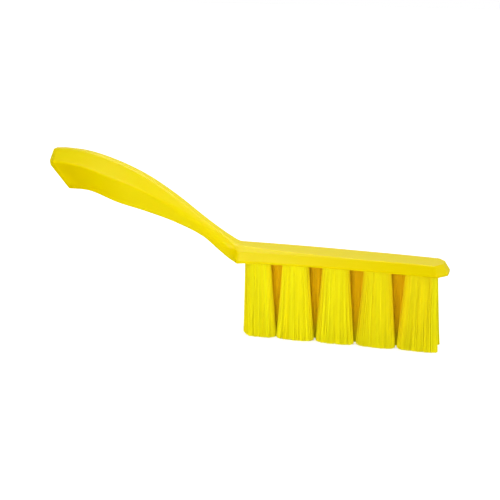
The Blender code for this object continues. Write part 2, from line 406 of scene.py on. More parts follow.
@dataclass(frozen=True)
class MouldedPlastic:
    """Opaque coloured plastic as it leaves a satin mould."""

    name: str
    colour: Colour
    deep_colour: Colour
    # Colour of the painted shade: in the flare by the block, under the butt and on the block's
    # walls towards the nose
    painted_shade_colour: Colour
    roughness: float

    # Patches and flow streaks of the deeper colour, and how much of it they show
    patches: Noise = Noise(26.0, 3.0, 0.55)
    patch_share: float = 0.45
    streaks: Noise = Noise((22.0, 160.0, 160.0), 4.0, 0.5)
    streak_share: float = 0.16
    roughness_change: Pair = (-0.05, 0.06)

    # Fine grain and the soft waves it lies in, each with its strength and depth
    grain: Noise = Noise(1300.0, 2.0, 0.6)
    grain_relief: Pair = (0.25, 0.032 * MM)
    waves: Noise = Noise(240.0, 1.0, 0.4)
    wave_relief: Pair = (0.30, 0.08 * MM)

    # Specular level, and the painted shade tone at which it is gone: the painted shade also takes
    # the reflections away
    shine: float = 0.05
    shine_end: float = 0.8

    # Light that enters the plastic: its share, its depth and how far each colour gets
    glow: float = 0.25
    glow_depth: float = 4.0 * MM
    glow_colours: Colour = (1.0, 0.6, 0.05)

    def material(self) -> bpy.types.Material:
        """Build the material: faint colour drift, satin streaks, painted shade and a fine skin.

        Returns:
            The material.
        """
        material, sheet, shader = new_material(self.name)
        place = sheet.add("ShaderNodeTexCoord").outputs["Object"]
        streak = sheet.noise(place, self.streaks)
        # Painted shade tone, kept on the mesh
        painted_shade_share = sheet.tone("painted_shade_tone")

        patch = sheet.spread(sheet.noise(place, self.patches), 0.0, self.patch_share)
        base = sheet.blend(patch, self.colour, self.deep_colour)
        base = sheet.blend(sheet.spread(streak, 0.0, self.streak_share), base, self.deep_colour)
        # Painted shade: a deeper colour where the mesh's painted shade tone is high
        base = sheet.blend(painted_shade_share, base, self.painted_shade_colour)
        sheet.join(base, shader.inputs["Base Color"])

        low, high = (self.roughness + change for change in self.roughness_change)
        sheet.join(sheet.spread(streak, low, high), shader.inputs["Roughness"])

        skin = sheet.relief(sheet.noise(place, self.grain), *self.grain_relief)
        skin = sheet.relief(sheet.noise(place, self.waves), *self.wave_relief, under=skin)
        sheet.join(skin, shader.inputs["Normal"])

        # Painted shade also takes the reflections away: the specular level falls to none as the
        # painted shade grows
        shine = sheet.spread(painted_shade_share, self.shine, 0.0, 0.0, self.shine_end)
        sheet.join(shine, shader.inputs["Specular IOR Level"])
        shader.inputs["Subsurface Weight"].default_value = self.glow
        shader.inputs["Subsurface Radius"].default_value = self.glow_colours
        shader.inputs["Subsurface Scale"].default_value = self.glow_depth
        return material


@dataclass(frozen=True)
class FilamentPlastic:
    """Drawn filament, with a tone of its own for each strand and painted shade in deep orange
    inside the brush.
    """

    name: str
    pale_colour: Colour
    deep_colour: Colour
    # Colour of the painted shade on filaments deep inside the brush
    painted_shade_orange: Colour
    roughness: float

    # Long streaks from drawing, which show in the colour, the roughness and the relief
    streaks: Noise = Noise((420.0, 420.0, 30.0), 3.0, 0.6)
    streak_share: float = 0.30
    roughness_change: Pair = (-0.06, 0.08)
    streak_relief: Pair = (0.2, 0.02 * MM)
    shine: float = 0.15

    def material(self) -> bpy.types.Material:
        """Build the material from the strands' own tone, long streaks and the painted shade inside.

        Returns:
            The material.
        """
        material, sheet, shader = new_material(self.name)
        place = sheet.add("ShaderNodeTexCoord").outputs["Object"]
        streak = sheet.noise(place, self.streaks)

        base = sheet.blend(sheet.tone("strand_tone"), self.pale_colour, self.deep_colour)
        base = sheet.blend(sheet.spread(streak, 0.0, self.streak_share), base, self.deep_colour)
        # Painted shade: deep orange on the filaments well inside the brush, gone at the tips
        base = sheet.blend(sheet.tone("painted_inner_shade"), base, self.painted_shade_orange)
        sheet.join(base, shader.inputs["Base Color"])

        low, high = (self.roughness + change for change in self.roughness_change)
        sheet.join(sheet.spread(streak, low, high), shader.inputs["Roughness"])
        sheet.join(sheet.relief(streak, *self.streak_relief), shader.inputs["Normal"])
        shader.inputs["Specular IOR Level"].default_value = self.shine
        return material


@dataclass(frozen=True)
class PaintedShade:
    """Painted shade, a deeper colour, where the moulding would be lit mostly by itself and on the
    block's walls towards the nose.

    Each pair gives the value where the tone starts and the value where it is full. Slopes are
    those of the surface's normal: 1 for a normal that points along the axis, -1 against it.
    """

    # Painted shade in the flare next to the block: distance ahead of it, slope along X, and two
    # along Z
    flare_distance: Pair = (12.0 * MM, 5.0 * MM)
    flare_back: Pair = (0.0, -1 / 12)
    flare_side: Pair = (0.85, 0.55)
    flare_upper: Pair = (-0.40, 0.60)
    # Points no further ahead of the block than this count as the block's
    block_lead: float = 0.2 * MM

    # Painted shade on the block's walls, growing towards the nose: tone at the handle and at the
    # nose, and slopes along Z and X
    wall_tones: Pair = (0.10, 0.95)
    wall_side: Pair = (0.75, 0.45)
    wall_nose: Pair = (1 / 3, 0.0)

    # Painted shade near the butt: distance from the end face and slope along Z, and the curl under
    # it, whose painted shade may add more than a full tone
    butt_distance: Pair = (70.0 * MM, 10.0 * MM)
    butt_side: Pair = (0.20, -0.40)
    curl_under: Pair = (-0.22, -0.27)
    curl_most: float = 1.5
    curl_end: Pair = (-1 / 3, 0.0)

    def tones(self, places: Array, normals: Array, butt_x: float, block_x: float,
              nose_x: float) -> Array:
        """Painted shade of each point of the moulding.

        Args:
            places: rows of x, y and z.
            normals: rows of the normals' x, y and z.
            butt_x: place of the handle's end face.
            block_x: place where the block starts.
            nose_x: place of the block's far end.

        Returns:
            The painted shade tones, 0 for none and 1 for the painted shade colour.
        """
        x, slope_x, slope_z = places[:, 0], normals[:, 0], normals[:, 2]
        ahead = block_x - x
        on_handle = ahead > self.block_lead

        flare = ramp(ahead, self.flare_distance) * on_handle
        flare *= ramp(slope_x, self.flare_back) * ramp(slope_z, self.flare_side)
        flare *= ramp(slope_z, self.flare_upper)

        at_handle, at_nose = self.wall_tones
        wall = at_handle - (at_nose - at_handle) * ahead / (nose_x - block_x)
        wall *= ~on_handle * ramp(slope_z, self.wall_side) * ramp(slope_x, self.wall_nose)

        curl = ramp(slope_z, self.curl_under, self.curl_most) * ramp(slope_x, self.curl_end)
        butt = ramp(x - butt_x, self.butt_distance) * (ramp(slope_z, self.butt_side) + curl)
        return np.maximum(np.maximum(flare, butt), wall)


# Handle and block


class Rail(IntEnum):
    """Columns of the handle's table, after the first, which holds the place along the handle."""

    TOP = 1
    DEPTH = 2
    CREASE_DROP = 3
    CREASE_WIDTH = 4
    TOP_FLAT = 5
    KEEL_FLAT = 6


@dataclass
class Moulding:
    """The one-piece handle and block: a faceted loft with a pocket for every bundle.

    A half section has five corners, from the top to the keel or base, and the fields with five
    values have one for each.
    """

    finish: MouldedPlastic
    # Where the material paints shade
    painted_shade: PaintedShade = PaintedShade()

    # Block
    block_length: float = 167.4 * MM
    handle_length: float = 162.4 * MM
    block_base: float = 62.5 * MM
    block_width: float = 34.6 * MM
    upper_wall: float = 7.0 * MM
    lower_wall: float = 1.5 * MM
    wall_draft: float = 3.7 * MM
    lower_draft: float = 0.6 * MM
    block_arch: float = 1.2 * MM
    heel_drop: float = 1.3 * MM
    heel_length: float = 12.0 * MM
    # Share of the heel's drop at the handle's end
    handle_heel: float = 0.75
    # Chamfer of the nose, along and across
    nose_chamfer: Pair = (5.4 * MM, 6.4 * MM)
    edge_break: float = 0.7 * MM
    edge_shares: Array = values(1.0, 1.0, 0.5, 0.25, 0.5)
    nose_round: float = 1.1 * MM
    # Ridge that carries the handle's top on: length, rise and width
    ridge: Place = (110.0 * MM, 3.4 * MM, 13.6 * MM)
    ridge_rise_power: float = 1.8
    ridge_width_power: float = 2.0
    # Rows of place and width, as shares of the block's length and width
    plan: Array = values((0.0, 0.985), (0.28, 1.0), (0.55, 0.97), (0.95, 0.905))

    # Handle
    handle_rise: float = 70.2 * MM
    grip_depth: float = 34.0 * MM
    grip_width: float = 27.0 * MM
    butt_face_height: float = 13.0 * MM
    butt_cut_run: float = 14.5 * MM
    # Bevel round the end face, along and inwards
    butt_bevel: Pair = (4.6 * MM, 2.9 * MM)
    butt_lean: float = 1.5 * MM
    butt_top_break: float = 0.2 * MM
    butt_round: float = 0.6 * MM
    butt_keel_round: float = 7.0 * MM
    butt_keel_end: float = 0.26
    # Least and largest share of the way from crease to keel where the knee may lie
    knee_limits: Pair = (0.1, 0.6)
    grip_rounds: Array = values(2.0, 0.8, 1.7, 0.8, 2.4, unit=MM)
    neck_rounds: Array = values(3.2, 1.0, 6.0, 1.0, 3.0, unit=MM)
    # Where along the handle the grip's roundings turn into the neck's
    neck_share: Pair = (0.50, 0.90)
    # Largest share of the run ahead of and past each corner that its curve may take
    reaches: tuple[Pair, ...] = (
        (0.45, 0.85), (0.12, 0.12), (0.85, 0.85), (0.12, 0.12), (0.85, 0.45))
    flare_start: float = 0.88
    flare_powers: Array = values(2.4, 4.2, 3.0, 3.0, 2.8)
    block_sharpness: float = 4.0
    # How far along the handle the lean of the butt's cut fades
    cut_fade: float = 0.28
    cut_fade_power: float = 1.5
    # Columns: place, and then those of Rail
    rails: Array = values(
        (0.00, 0.995, 0.950, 0.27, 0.93, 0.30, 0.56),
        (0.08, 1.000, 0.980, 0.27, 0.95, 0.30, 0.52),
        (0.20, 0.973, 0.954, 0.325, 0.98, 0.30, 0.40),
        (0.35, 0.877, 1.000, 0.35, 1.00, 0.30, 0.38),
        (0.50, 0.732, 0.871, 0.34, 0.97, 0.31, 0.40),
        (0.65, 0.526, 0.656, 0.325, 0.85, 0.34, 0.43),
        (0.80, 0.277, 0.442, 0.33, 0.70, 0.42, 0.56),
        (0.90, 0.123, 0.475, 0.38, 0.68, 0.48, 0.74),
        (0.95, 0.066, 0.480, 0.40, 0.71, 0.51, 0.82),
        (1.00, 0.000, 0.385, 0.42, 0.75, 0.52, 0.86),
    )

    # Steps of the mesh, and where support points lie along the straight runs
    handle_steps: int = 104
    block_steps: int = 72
    corner_steps: int = 7
    butt_steps: int = 5
    nose_steps: int = 6
    run_supports: tuple[float, ...] = (0.1, 0.36, 0.64, 0.9)
    end_supports: tuple[float, ...] = (0.1, 0.5, 1.0)
    # Width of the last ring on each end face, as a share of the face's
    butt_inset: float = 0.7
    nose_inset: float = 0.6
    smooth_angle: float = 32.0

    # Pockets: their depth, the room round a bundle, and how far the cutter stands out below
    pocket_depth: float = 3.7 * MM
    pocket_room: float = 0.25 * MM
    pocket_overrun: float = 3.0 * MM

    @property
    def butt_x(self) -> float:
        """Place of the handle's end face."""
        return -(self.handle_length + self.block_length) / 2

    @property
    def block_x(self) -> float:
        """Place where the block starts."""
        return self.butt_x + self.handle_length

    @property
    def nose_x(self) -> float:
        """Place of the block's far end."""
        return self.block_x + self.block_length

    def arch(self, x: float) -> float:
        """Rise of the slightly arched block, highest at its middle.

        Args:
            x: place along the brush.

        Returns:
            The rise there.
        """
        t = min(max((x - self.block_x) / self.block_length, 0), 1)
        return self.block_arch * 4 * t * (1 - t)

    def half_width(self, x: float) -> float:
        """Half width of the block at its widest line.

        Args:
            x: place along the brush.

        Returns:
            The half width there.
        """
        return spline(self.plan, 1, (x - self.block_x) / self.block_length) * self.block_width / 2

    def rail(self, column: Rail, share: float) -> float:
        """Read a column of the handle's table.

        Args:
            column: the column.
            share: place along the handle.

        Returns:
            The value there.
        """
        return spline(self.rails, column, share)

    def block_corners(self, x: float) -> Array:
        """Corners of the block's half section: top, shoulder, widest line, low wall and base.

        Args:
            x: place along the brush.

        Returns:
            Five rows of x, y and z.
        """
        lift, side = self.arch(x), self.half_width(x)
        length, rise, width = self.ridge
        left = fade(x - self.block_x, length)
        at_handle = self.handle_heel * fade(x - self.block_x, self.heel_length)
        heel = self.heel_drop * (at_handle + fade(self.nose_x - x, self.heel_length))
        wall_top = side - self.wall_draft
        flat = wall_top - self.edge_break
        flat += (width / 2 - flat) * left ** self.ridge_width_power
        top = self.block_base + self.lower_wall + self.upper_wall + lift
        widest = np.array((x, side, self.block_base + self.lower_wall + lift))
        base = np.array((x, side - self.lower_draft, self.block_base + lift - heel))
        return np.array((
            (x, flat, top + rise * left ** self.ridge_rise_power),
            (x, wall_top, top - self.edge_break),
            widest,
            (widest + base) / 2,
            base,
        ))

    def handle_corners(self, share: float, cut: float) -> Array:
        """Corners of the handle's half section: top, facet, crease, knee and keel.

        Args:
            share: place along the handle.
            cut: how far the keel leans along the slanted cut of the butt.

        Returns:
            Five rows of x, y and z.
        """
        deck = self.block_corners(self.block_x)[0][2]
        foot = min(share + cut * self.butt_cut_run / self.handle_length, 1)
        side = self.rail(Rail.CREASE_WIDTH, share) * self.grip_width / 2
        foot_side = self.rail(Rail.CREASE_WIDTH, foot) * self.grip_width / 2
        depth = self.rail(Rail.DEPTH, share) * self.grip_depth
        x = self.butt_x + share * self.handle_length
        top = np.array((
            x,
            self.rail(Rail.TOP_FLAT, share) * side,
            deck + self.rail(Rail.TOP, share) * self.handle_rise,
        ))
        crease = np.array((x, side, top[2] - self.rail(Rail.CREASE_DROP, share) * depth))
        foot_top = deck + self.rail(Rail.TOP, foot) * self.handle_rise
        keel = np.array((
            self.butt_x + foot * self.handle_length,
            self.rail(Rail.KEEL_FLAT, foot) * foot_side,
            foot_top - self.rail(Rail.DEPTH, foot) * self.grip_depth,
        ))
        least, most = self.knee_limits
        t = (crease[2] - (top[2] - self.butt_face_height)) / (crease[2] - keel[2])
        knee = crease + (keel - crease) * min(max(t, least), most)
        knee[0] = x
        return np.array((top, (top + crease) / 2, crease, knee, keel))

    def section(self, corners: Array, setbacks: Array) -> Array:
        """Half section with rounded corners, from the top centre to the foot centre.

        Args:
            corners: rows of x, y and z.
            setbacks: how far each corner's curve reaches.

        Returns:
            The section's points, with support points close to each curve's ends.
        """
        start, end = corners[0] * (1, 0, 1), corners[-1] * (1, 0, 1)
        chain = [start, *corners, end]
        points = [start]
        for before, corner, after, setback, reach in zip(
                chain, chain[1:], chain[2:], setbacks, self.reaches):
            back = min(setback / np.linalg.norm(before - corner), reach[0])
            on = min(setback / np.linalg.norm(after - corner), reach[1])
            first, second = corner + (before - corner) * back, corner + (after - corner) * on
            last = points[-1]
            points += [last + (first - last) * t for t in self.run_supports]
            points += bend(first, corner, second, self.corner_steps)
        last = points[-1]
        return np.array(points + [last + (end - last) * t for t in self.end_supports])

    def butt_face(self) -> Array:
        """Half section round the end face, inside its bevel and on its slanted cut.

        Returns:
            The section's points.
        """
        top, facet, crease, knee, keel = self.handle_corners(0, 1)
        inward = self.butt_bevel[1]
        inset = np.array((
            (self.butt_x, top[1], top[2] - self.butt_top_break),
            (self.butt_x, facet[1] - inward / 2, facet[2] - self.butt_top_break / 2),
            (self.butt_x, crease[1] - inward, crease[2]),
            (self.butt_x, knee[1] - inward, knee[2]),
            (keel[0], keel[1] - inward / 2, keel[2] + self.butt_top_break),
        ))
        face = self.section(inset, np.full(len(inset), self.edge_break))
        run = (keel[0] - self.butt_x) / (knee[2] - keel[2])
        lean = self.butt_lean / (top[2] - crease[2])
        face[:, 0] = self.butt_x + np.maximum(knee[2] - face[:, 2], 0) * run
        face[:, 0] += np.maximum(face[:, 2] - crease[2], 0) * lean
        return face

    def handle_rings(self) -> list[Array]:
        """Half sections along the handle, from its end face to just before the block.

        Returns:
            The rings in order.
        """
        sharp = self.edge_break * self.edge_shares
        near, far = self.neck_share
        bevel = self.butt_bevel[0] / self.handle_length
        goal = self.block_corners(self.block_x)
        body = []
        for step in range(self.handle_steps):
            share = bevel + (1 - bevel) * step / self.handle_steps
            corners = self.handle_corners(share, fade(share, self.cut_fade) ** self.cut_fade_power)
            flare = max((share - self.flare_start) / (1 - self.flare_start), 0)
            corners[:, 1:] += (goal - corners)[:, 1:] * (flare ** self.flare_powers)[:, None]
            neck = eased(min(max((share - near) / (far - near), 0), 1))
            rounds = self.grip_rounds + (self.neck_rounds - self.grip_rounds) * neck
            rounds[-1] += (self.butt_keel_round - rounds[-1]) * fade(share, self.butt_keel_end)
            crisp = flare ** self.block_sharpness
            body.append(self.section(corners, rounds * (1 - crisp) + sharp * crisp))

        face = self.butt_face()
        inner = face * (1, self.butt_inset, 1)
        # The fourth ring lies far enough along to give the body's direction
        return [
            inner,
            *fillet(inner, face, body[0], self.butt_round, self.butt_steps),
            *fillet(face, body[0], body[3], self.butt_round, self.butt_steps),
            *body[1:],
        ]

    def block_rings(self) -> list[Array]:
        """Half sections along the block and round its chamfered nose.

        Returns:
            The rings in order.
        """
        breaks = self.edge_break * self.edge_shares
        along, across = self.nose_chamfer
        size = math.hypot(along, across)
        # The top and shoulder stay where they are, the lower corners stand out with the draft
        drafts = np.array((0, 0, 1, 1, 1)) * self.wall_draft
        side_x = self.nose_x - self.wall_draft - along
        xs = self.block_x + (side_x - self.block_x) * np.arange(self.block_steps) / self.block_steps
        rings = [self.section(self.block_corners(x), breaks) for x in xs]
        shoulder = self.block_corners(side_x)
        nose = shoulder.copy()
        shoulder[:, 0] += drafts * (1 - along / size) / (across / size)
        nose[:, 1] += -drafts - across + drafts * (1 - across / size) / (along / size)
        nose[:, 0] = self.nose_x - self.wall_draft + drafts
        shoulder, nose = self.section(shoulder, breaks), self.section(nose, breaks)
        inner = nose * (1, self.nose_inset, 1)
        return [
            *rings,
            *fillet(rings[-1], shoulder, nose, self.nose_round, self.nose_steps),
            *fillet(shoulder, nose, inner, self.nose_round, self.nose_steps),
            inner,
        ]

    def shell(self) -> bpy.types.Mesh:
        """Loft the rings on both sides and close the two ends.

        Returns:
            The closed mesh.
        """
        rings = np.array(self.handle_rings() + self.block_rings())
        count, half = rings.shape[:2]
        mirrored = rings[:, -2:0:-1] * (1, -1, 1)
        full = np.concatenate((rings, mirrored), axis=1)
        around = full.shape[1]
        index = np.arange(count * around).reshape(count, around).tolist()
        faces = []
        for a, b in zip(index, index[1:]):
            for i in range(around):
                j = (i + 1) % around
                faces.append((a[i], b[i], b[j], a[j]))
        for ring, turn in ((index[0], 1), (index[-1], -1)):
            for i in range(half - 1):
                left, right = ring[i], ring[i + 1]
                other, beyond = ring[-i % around], ring[-(i + 1) % around]
                loop = [left, right, beyond, other]
                loop = [p for k, p in enumerate(loop) if p not in loop[:k]]
                faces.append(loop[::turn])
        mesh = bpy.data.meshes.new("moulding")
        mesh.from_pydata(full.reshape(-1, 3).tolist(), [], faces)
        mesh.validate()
        return mesh

    def build(self, pockets: list["Bundle"]) -> bpy.types.Object:
        """Build the moulding, cut the pockets and dress it.

        Args:
            pockets: the bundles that sit in its underside.

        Returns:
            The finished object, riding on the frame.
        """
        body = link_object("handle_and_block", self.shell())
        cutter = self.pocket_cutter(pockets)
        cut = body.modifiers.new("pockets", "BOOLEAN")
        cut.operation, cut.solver, cut.object = "DIFFERENCE", "EXACT", cutter
        graph = bpy.context.evaluated_depsgraph_get()
        mesh = bpy.data.meshes.new_from_object(body.evaluated_get(graph))
        body.modifiers.clear()
        body.data = mesh
        bpy.data.objects.remove(cutter)
        soften(mesh, self.smooth_angle)
        # Painted shade for the material, from each point's place and normal
        keep_tone(mesh, "painted_shade_tone", self.painted_shade_tone(mesh))
        mesh.materials.clear()
        mesh.materials.append(self.finish.material())
        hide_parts("handle_block")
        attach(body, BODY)
        return body

    def painted_shade_tone(self, mesh: bpy.types.Mesh) -> Array:
        """Painted shade where light reaches the surface mostly off the moulding itself, and on the
        block's walls towards the nose.

        Args:
            mesh: the finished mesh.

        Returns:
            A painted shade tone for each point, 0 for none and 1 for the painted shade colour.
        """
        places, normals = np.empty(len(mesh.vertices) * 3), np.empty(len(mesh.vertices) * 3)
        mesh.vertices.foreach_get("co", places)
        mesh.vertex_normals.foreach_get("vector", normals)
        places, normals = places.reshape(-1, 3), normals.reshape(-1, 3)
        return self.painted_shade.tones(places, normals, self.butt_x, self.block_x, self.nose_x)

    def pocket_cutter(self, pockets: list["Bundle"]) -> bpy.types.Object:
        """One mesh of all the pockets.

        Args:
            pockets: the bundles that sit in the underside.

        Returns:
            The cutter.
        """
        points, faces = [], []
        for bundle in pockets:
            outline = bundle.outline(self.pocket_room)
            n, first = len(outline), len(points)
            for z in (bundle.root - self.pocket_overrun, bundle.root + self.pocket_depth):
                points += [(x, y, z) for x, y in outline]
            faces.append(tuple(range(first, first + n))[::-1])
            faces.append(tuple(range(first + n, first + 2 * n)))
            for i in range(n):
                j = (i + 1) % n
                faces.append((first + i, first + j, first + n + j, first + n + i))
        mesh = bpy.data.meshes.new("pockets")
        mesh.from_pydata(points, [], faces)
        return link_object("pockets", mesh)


# Bristles


class Row(Enum):
    """The three rows of bundles, with the name each one's nodes start with."""

    FRONT = "front_bristles"
    MIDDLE = "middle_bristles"
    BACK = "back_bristles"


BUNDLE_COUNTS = {Row.FRONT: 5, Row.MIDDLE: 4, Row.BACK: 5}


@dataclass
class Bundle:
    """One bundle of filaments, fanned a little from its pocket to its tips."""

    row: Row
    number: int
    finish: bpy.types.Material

    # How far the plug and the filaments reach up into the pocket
    plug_depth: float = 3.4 * MM
    root_cover: float = 2.6 * MM
    # Tips: growth over the solid's, spread past the root at each end and side, fullness along
    # the brush, and how late the spread sets in
    tip_growth: float = 0.6 * MM
    tip_spread: float = 3.8 * MM
    tip_spread_across: float = 0.5 * MM
    fullness: float = 1.08
    spread_power: float = 1.12
    # Outline at the root: power of its rounded rectangle, and points round it
    squareness: float = 2.5
    outline_steps: int = 56

    # Ends of the rows: reach of the first root, trim of the first tips, and how much nearer the
    # nose the front row's last bundle reaches, at its root and at its tips
    outer_reach: float = 1.0 * MM
    first_trim: float = 1.0 * MM
    last_reach: Pair = (1.8 * MM, 0.7 * MM)

    # Filaments, set in staggered lines
    filament: float = 0.50 * MM
    pitch: float = 0.51 * MM
    line_share: float = 0.866
    root_jitter: float = 0.045 * MM
    sides: int = 6
    levels: tuple[float, ...] = (0.0, 0.12, 0.3, 0.52, 0.76, 1.0)
    smooth_angle: float = 62.0

    # Clumps that draw the tips together, and how far each filament wanders and bows
    clumps: int = 40
    clump_room: float = 0.98
    clump_pull: float = 0.06
    wander: float = 0.22 * MM
    bow_share: float = 0.6

    # Height of the tips: ragged up to a limit in times the raggedness, raised towards the
    # bundle's ends, and raised evenly over a share of the first bundles to cut their corner
    raggedness: float = 0.35 * MM
    ragged_limit: float = 4.0
    end_lift: float = 0.9 * MM
    end_power: float = 7.0
    corner_lift: float = 2.2 * MM
    corner_share: float = 0.46

    # Tones: mean and spread for the clumps, and spread among a clump's filaments
    clump_tone: Pair = (0.36, 0.14)
    strand_spread: float = 0.16
    # Painted shade inside the brush: corners of the whole brush, depths inside them where it starts
    # and is full, and the share of the length where it starts to fade
    brush_low: Pair = (1.0 * MM, -16.0 * MM)
    brush_high: Pair = (157.0 * MM, 16.0 * MM)
    shade_depths: Pair = (2.0 * MM, 9.0 * MM)
    shade_fade: float = 0.70

    # Step between the rows' random seeds
    row_seeds: int = 100

    def __post_init__(self) -> None:
        """Read the bundle's place from its node."""
        low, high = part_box(self.node)
        self.centre = ((low.x + high.x) / 2, (low.y + high.y) / 2)
        self.tip_size = (high.x - low.x + self.tip_growth, high.y - low.y + self.tip_growth)
        self.root = high.z - self.plug_depth
        seed = self.row_seeds * list(Row).index(self.row) + self.number
        self.random = np.random.default_rng(seed)
        outer = self.row is not Row.MIDDLE
        self.first = outer and self.number == 1
        self.last = outer and self.number == BUNDLE_COUNTS[self.row]
        self.nearest_nose = self.last and self.row is Row.FRONT

    @property
    def node(self) -> str:
        """Name of the CAD node that this bundle stands for."""
        return f"{self.row.value}_{self.number}"

    @property
    def root_size(self) -> Pair:
        """Length and depth of the bundle where it leaves the block."""
        return self.tip_size[0] - 2 * self.tip_spread, self.tip_size[1] - 2 * self.tip_spread_across

    @property
    def root_half(self) -> Array:
        """Half length and half depth of the filaments' axes at the root."""
        return np.array(self.root_size) / 2 - self.filament / 2

    @property
    def tip_half(self) -> Array:
        """Half length and half depth of the filaments' axes at the tips."""
        return (np.array(self.tip_size) / 2 - self.filament / 2) * (self.fullness, 1.0)

    def outline(self, grow: float) -> list[Pair]:
        """Outline of the bundle at its root.

        Args:
            grow: how far to draw it out.

        Returns:
            Points of the outline in order.
        """
        a, b = self.root_size[0] / 2 + grow, self.root_size[1] / 2 + grow
        (centre_x, centre_y), power = self.centre, 2 / self.squareness
        points = []
        for angle in np.linspace(0, 2 * math.pi, self.outline_steps, endpoint=False):
            c, s = math.cos(angle), math.sin(angle)
            reach = self.outer_reach if self.first and c < 0 else 0
            reach = self.last_reach[0] if self.nearest_nose and c > 0 else reach
            x, y = math.copysign(a + reach, c), math.copysign(b, s)
            points.append((centre_x + abs(c) ** power * x, centre_y + abs(s) ** power * y))
        return points

    def roots(self) -> Array:
        """Places of the filaments at the root, from -1 to 1 both ways.

        Returns:
            Rows of two shares of the half length and half depth.
        """
        a, b = self.root_half
        line = self.pitch * self.line_share
        count = int(b / line) + 1
        points = []
        for j in range(-count, count + 1):
            xs = np.arange(-a, a, self.pitch) + (self.pitch / 2 if j % 2 else 0)
            points += [(x, j * line) for x in xs]
        points = np.array(points)
        points += self.random.normal(0, self.root_jitter, points.shape)
        shares = points / (a, b)
        return shares[(np.abs(shares) ** self.squareness).sum(1) <= 1]

    def root_and_tip(self, shares: Array) -> tuple[Array, Array]:
        """Both ends of the filaments, seen from above and measured from the bundle's centre.

        Args:
            shares: the filaments' places, from -1 to 1 both ways.

        Returns:
            Rows of x and y at the root, and at the tip.
        """
        root, tip = shares * self.root_half, shares * self.tip_half
        low, high = shares[:, 0].clip(-1, 0), shares[:, 0].clip(0, 1)
        excess = self.tip_half[0] * (1 - 1 / self.fullness)
        if self.first:
            root[:, 0] += low * self.outer_reach
            tip[:, 0] -= low * (excess + self.first_trim)
        if self.last:
            tip[:, 0] -= high * excess
        if self.nearest_nose:
            root[:, 0] += high * self.last_reach[0]
            tip[:, 0] += high * self.last_reach[1]
        return root, tip

    def gathered(self, tip: Array) -> tuple[Array, Array]:
        """Draw the tips together in loose clumps.

        Args:
            tip: rows of x and y.

        Returns:
            The moved tips, and the number of each one's clump.
        """
        angles = self.random.uniform(0, 2 * math.pi, self.clumps)
        reach = np.sqrt(self.random.uniform(0, 1, self.clumps))
        centres = np.stack((np.cos(angles) * reach, np.sin(angles) * reach), 1)
        centres = centres * self.tip_half * self.clump_room
        nearest = np.linalg.norm(tip[:, None] - centres[None], axis=2).argmin(1)
        tip = tip + (centres[nearest] - tip) * self.clump_pull
        return tip + self.random.normal(0, self.wander, tip.shape), nearest

    def feet(self, shares: Array) -> Array:
        """Heights of the tips over the ground.

        Args:
            shares: the filaments' places, from -1 to 1 both ways.

        Returns:
            One height for each filament.
        """
        foot = np.abs(self.random.normal(0, self.raggedness, len(shares)))
        foot = foot.clip(0, self.ragged_limit * self.raggedness)
        low = shares[:, 0].clip(-1, 0)
        ends = -low if self.last else np.abs(shares[:, 0])
        foot += self.end_lift * ends ** self.end_power
        if self.first:
            foot += self.corner_lift * ramp(low, (self.corner_share - 1, -1))
        return foot

    def paths(self) -> tuple[Array, Array]:
        """Lines that the filaments follow, and each filament's tone.

        Returns:
            Points as filament, level and x, y, z; and tones from 0 to 1.
        """
        shares = self.roots()
        root, tip = self.root_and_tip(shares)
        tip, clump = self.gathered(tip)
        bow = self.random.normal(0, self.wander, root.shape)
        t = np.array(self.levels)
        spread, arc = t ** self.spread_power, np.sin(math.pi * t) * self.bow_share
        lines = np.empty((len(shares), len(t), 3))
        lines[..., :2] = root[:, None] + (tip - root)[:, None] * spread[None, :, None]
        lines[..., :2] += bow[:, None] * arc[None, :, None]
        lines[..., :2] += self.centre
        top = self.root + self.root_cover
        lines[..., 2] = top + (self.feet(shares) - top)[:, None] * t[None]

        tone = self.random.normal(*self.clump_tone, self.clumps)[clump]
        tone = tone + self.random.normal(0, self.strand_spread, len(shares))
        return lines, tone.clip(0, 1)

    def painted_inner_shade(self, lines: Array) -> Array:
        """Painted shade on the filaments well inside the brush, gone at their tips.

        Args:
            lines: points as filament, level and x, y, z.

        Returns:
            A painted shade tone from 0 to 1 for each filament and level.
        """
        place = lines[..., :2]
        inside = np.minimum(place - self.brush_low, self.brush_high - place).min(-1)
        end = ramp(np.array(self.levels), (self.shade_fade, 1.0))
        return eased(ramp(inside, self.shade_depths)) * (1 - end)[None]

    def build(self) -> bpy.types.Object:
        """Sweep the filaments, dress them and put them in the node's place.

        Returns:
            The finished object, riding on the frame.
        """
        lines, tone = self.paths()
        n, levels = lines.shape[:2]
        turn = self.random.uniform(0, 2 * math.pi, n)
        angles = turn[:, None] + np.arange(self.sides)[None] * 2 * math.pi / self.sides
        circle = np.stack((np.cos(angles), np.sin(angles), np.zeros_like(angles)), 2)
        points = lines[:, :, None] + (circle * self.filament / 2)[:, None]
        index = np.arange(n * levels * self.sides).reshape(n, levels, self.sides)
        after = np.roll(index, -1, axis=2)
        quads = np.stack((index[:, :-1], index[:, 1:], after[:, 1:], after[:, :-1]), -1)
        caps = np.concatenate((index[:, 0], index[:, -1, ::-1]))
        faces = quads.reshape(-1, 4).tolist() + caps.tolist()
        mesh = bpy.data.meshes.new(self.node)
        mesh.from_pydata(points.reshape(-1, 3).tolist(), [], faces)
        keep_tone(mesh, "strand_tone", np.repeat(tone, levels * self.sides))
        # Painted shade deep inside the brush, kept for the material to read
        keep_tone(mesh, "painted_inner_shade", np.repeat(self.painted_inner_shade(lines).ravel(), self.sides))
        soften(mesh, self.smooth_angle)
        mesh.materials.append(self.finish)
        bundle = link_object(f"{self.node}_filaments", mesh)
        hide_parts(self.node)
        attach(bundle, BODY)
        return bundle


# Studio


class Duty(Enum):
    """What a panel lamp is there for: plain light, or a reflection and nothing else."""

    LIGHT = "light"
    SHEEN = "sheen"


